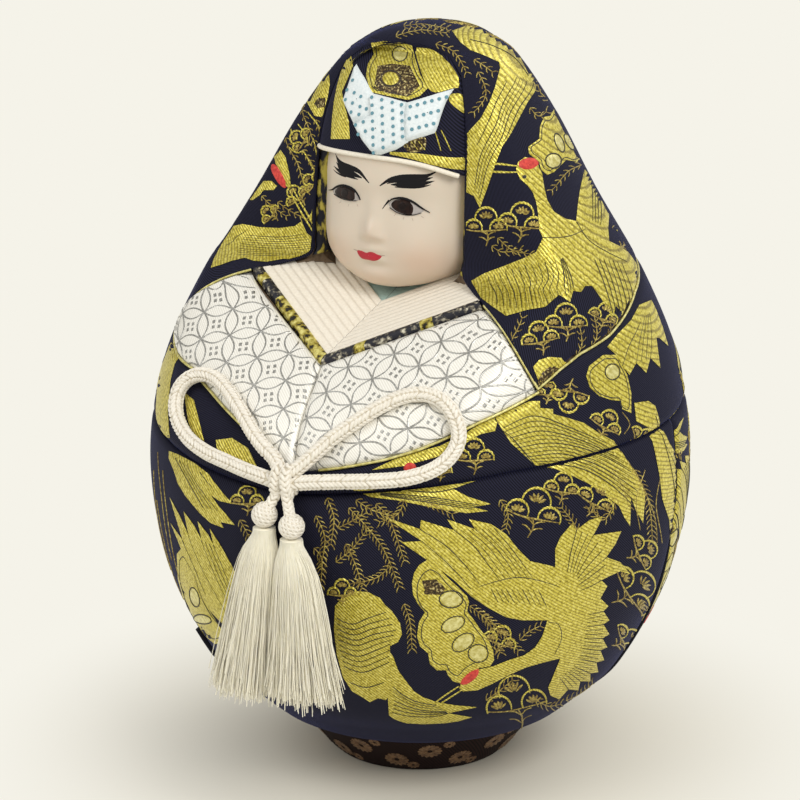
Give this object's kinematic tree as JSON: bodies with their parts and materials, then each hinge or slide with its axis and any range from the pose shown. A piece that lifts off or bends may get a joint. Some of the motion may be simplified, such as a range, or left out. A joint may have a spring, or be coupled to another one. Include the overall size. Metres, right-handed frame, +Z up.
{
  "type": "hime daruma doll",
  "caption": "Seated egg-shaped princess doll dressed in tucked brocade, with a hooded painted head, layered collars, a cord bow and swinging thread tassels.",
  "frame": {"origin": "centre of the flat underside that the doll stands on", "axes": "+Z up, the face looks along -Y, the doll's own left hand side is +X"},
  "size_m": [0.1878, 0.2023, 0.258],
  "materials": {
    "navy_brocade": "woven, dark navy ground with gold thread motifs",
    "silver_brocade": "woven, silver white with grey interlocking circles",
    "foot_brocade": "woven, dark red brown with copper flowers",
    "cream_pleats": "finely pleated",
    "turquoise_collar": "soft satin",
    "dotted_cloth": "white crepe with blue grey dots",
    "cord": "braided silk cord and thread",
    "face_paint": "polished shell-white paint",
    "eye_glass": "glossy dark brown glass",
    "core_paste": "moulded paulownia sawdust paste",
    "wood": "plain sawn",
    "clay": "dried clay",
    "felt": "felt",
    "pin_steel": "drawn wire"
  },
  "bodies": {
    "body": {"hood": "navy_brocade", "left_sleeve": "navy_brocade", "right_sleeve": "navy_brocade", "lap_front": "navy_brocade", "seat_back": "navy_brocade", "forehead_cap": "navy_brocade", "left_trim": "navy_brocade", "right_trim": "navy_brocade", "left_chest": "silver_brocade", "right_chest": "silver_brocade", "foot_cloth": "foot_brocade", "left_pleats": "cream_pleats", "right_pleats": "cream_pleats", "left_inner_collar": "turquoise_collar", "right_inner_collar": "turquoise_collar", "headband": "dotted_cloth", "ornament_left_wing": "dotted_cloth", "ornament_right_wing": "dotted_cloth", "ornament_fold": "dotted_cloth", "bow_knot": "cord", "face_mask": "face_paint", "left_eye": "eye_glass", "right_eye": "eye_glass", "core_front": "core_paste", "core_back": "core_paste", "head_block": "core_paste", "base_board": "wood", "neck_dowel": "wood", "ballast": "clay", "base_sheet": "felt", "bow_pin": "pin_steel"},
    "right_tassel_cord": {"right_tail": "cord"},
    "right_tassel": {"right_tassel_ball": "cord", "right_tassel_skirt": "cord"},
    "left_tassel_cord": {"left_tail": "cord"},
    "left_tassel": {"left_tassel_ball": "cord", "left_tassel_skirt": "cord"},
    "right_bow_loop": {"right_loop": "cord"},
    "left_bow_loop": {"left_loop": "cord"}
  },
  "joints": [
    {"name": "right_tassel_side", "type": "hinge", "parent": "body", "child": "right_tassel_cord", "pos_m": [0.00553, -0.09522, 0.1242], "axis": [0, 1, 0], "range_deg": [0, 22]},
    {"name": "right_tassel_forward", "type": "hinge", "parent": "right_tassel_cord", "child": "right_tassel", "pos_m": [0.00033, -0.09908, 0.1126], "axis": [-1, 0, 0], "range_deg": [0, 40]},
    {"name": "left_tassel_side", "type": "hinge", "parent": "body", "child": "left_tassel_cord", "pos_m": [0.00553, -0.09522, 0.1242], "axis": [0, -1, 0], "range_deg": [0, 22]},
    {"name": "left_tassel_forward", "type": "hinge", "parent": "left_tassel_cord", "child": "left_tassel", "pos_m": [0.01093, -0.09921, 0.1104], "axis": [-1, 0, 0], "range_deg": [0, 40]},
    {"name": "right_loop_lift", "type": "hinge", "parent": "body", "child": "right_bow_loop", "pos_m": [0.00553, -0.09522, 0.1242], "axis": [0, 0, 1], "range_deg": [0, 25], "stiffness_Nm_per_rad": 0.003},
    {"name": "left_loop_lift", "type": "hinge", "parent": "body", "child": "left_bow_loop", "pos_m": [0.00553, -0.09522, 0.1242], "axis": [0, 0, -1], "range_deg": [0, 25], "stiffness_Nm_per_rad": 0.003}
  ]
}
